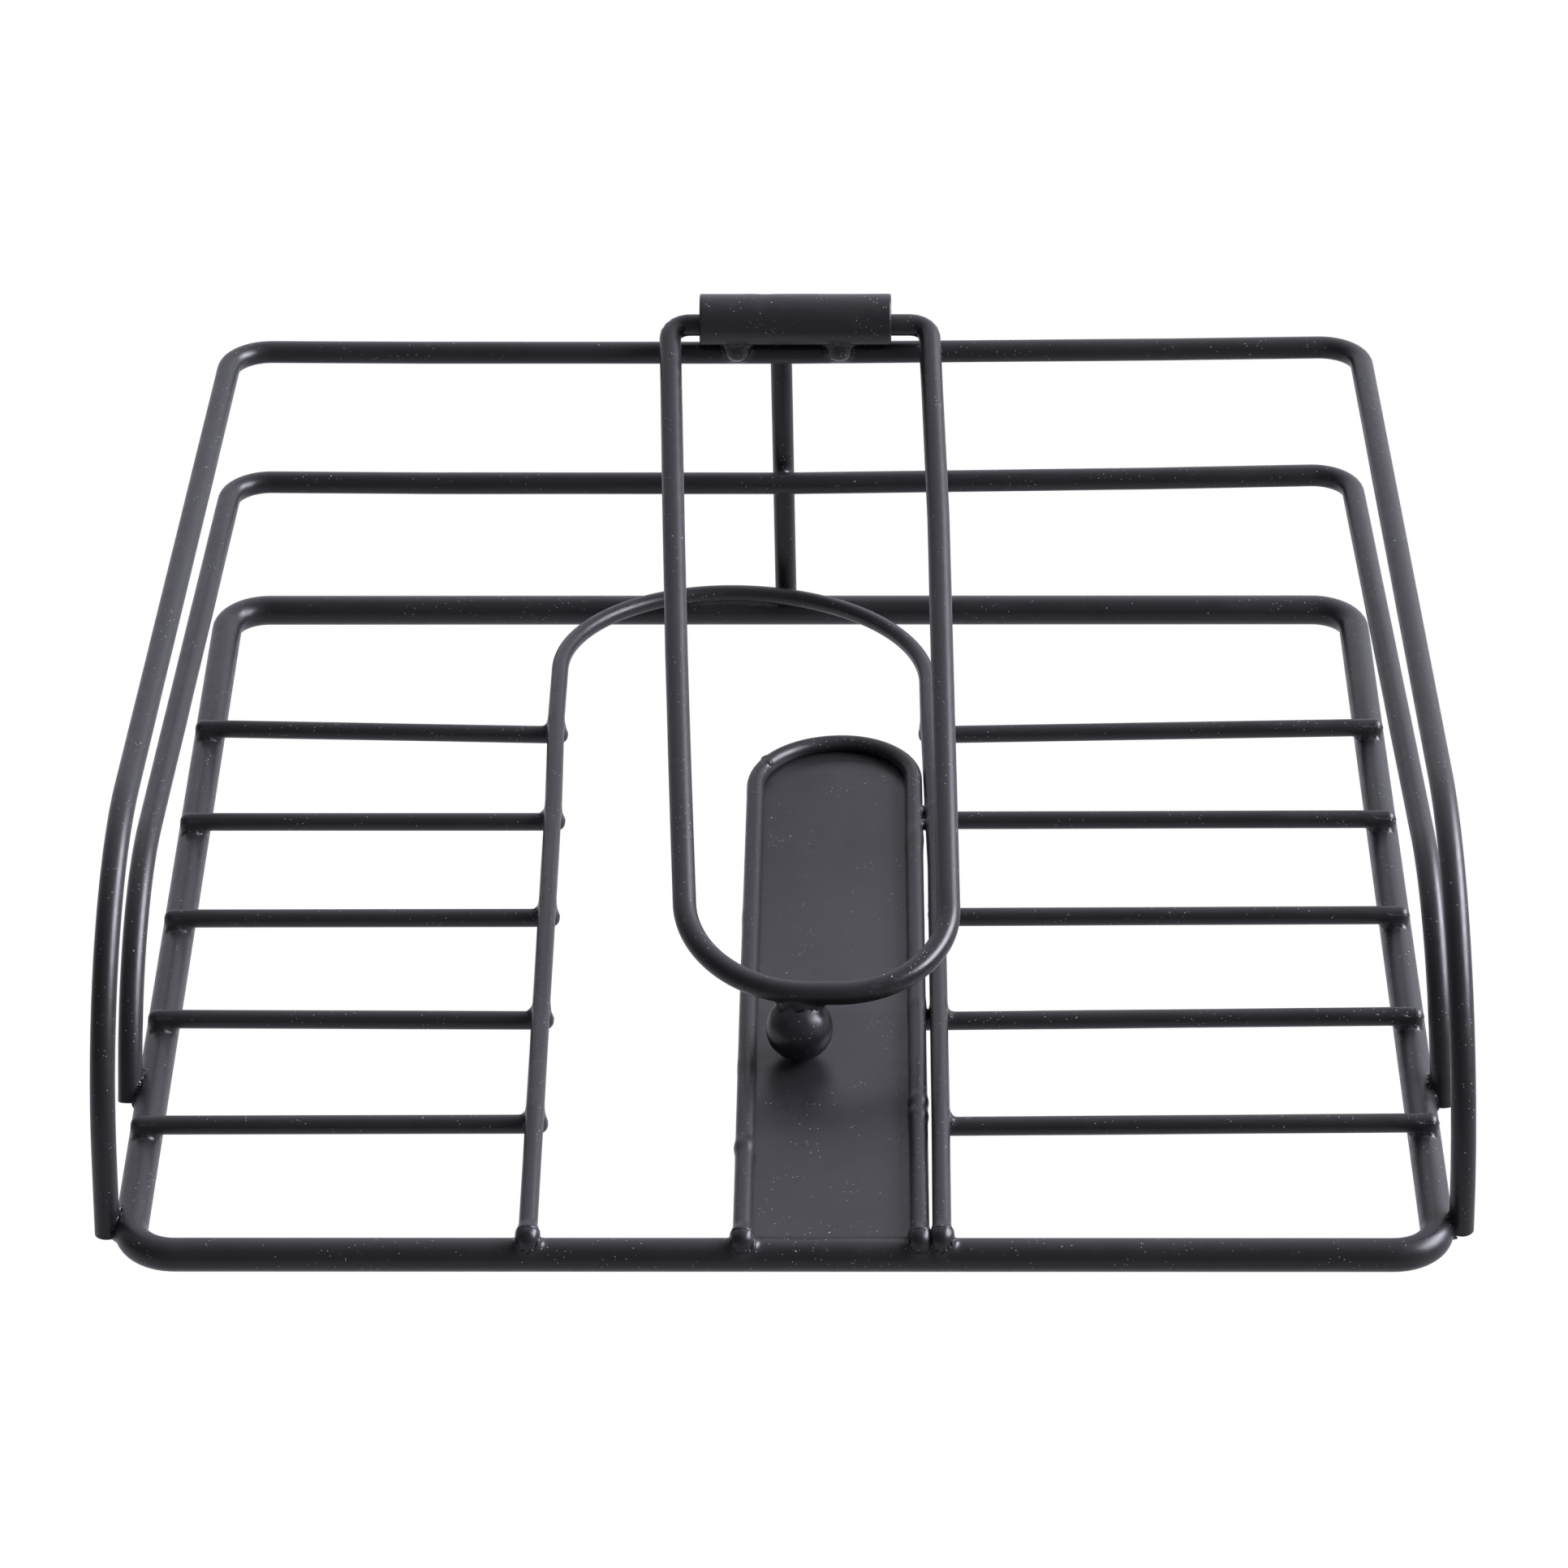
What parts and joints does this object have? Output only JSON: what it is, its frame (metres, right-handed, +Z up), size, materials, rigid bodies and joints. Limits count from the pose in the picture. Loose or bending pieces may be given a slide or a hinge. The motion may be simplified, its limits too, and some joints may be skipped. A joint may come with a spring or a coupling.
{
  "type": "napkin holder",
  "caption": "Flat wire napkin holder: a square welded tray with two low wire guards on three sides and a hinged swing arm whose ball weight rests on a narrow pad.",
  "frame": {"origin": "centre of the footprint, on the table", "axes": "+X to the right, +Y towards the hinge at the back, +Z up from the table"},
  "size_m": [0.1958, 0.1937, 0.0603],
  "materials": {
    "wire_coat": "satin black powder coat on steel wire",
    "plate_coat": "satin black powder coat on sheet steel"
  },
  "bodies": {
    "frame": {"base_frame": "wire_coat", "cross_wire_left_1": "wire_coat", "cross_wire_left_2": "wire_coat", "cross_wire_left_3": "wire_coat", "cross_wire_left_4": "wire_coat", "cross_wire_left_5": "wire_coat", "cross_wire_right_1": "wire_coat", "cross_wire_right_2": "wire_coat", "cross_wire_right_3": "wire_coat", "cross_wire_right_4": "wire_coat", "cross_wire_right_5": "wire_coat", "finger_loop": "wire_coat", "pad_rim": "wire_coat", "pad_plate": "plate_coat", "upper_guard": "wire_coat", "middle_guard": "wire_coat", "spine_rod": "wire_coat", "hinge_tube": "wire_coat"},
    "arm": {"arm_loop": "wire_coat", "ball_weight": "wire_coat"}
  },
  "joints": [
    {"name": "arm_swing", "type": "hinge", "parent": "frame", "child": "arm", "pos_m": [0, 0.09075, 0.05508], "axis": [-1, 0, 0], "range_deg": [0, 215]}
  ]
}
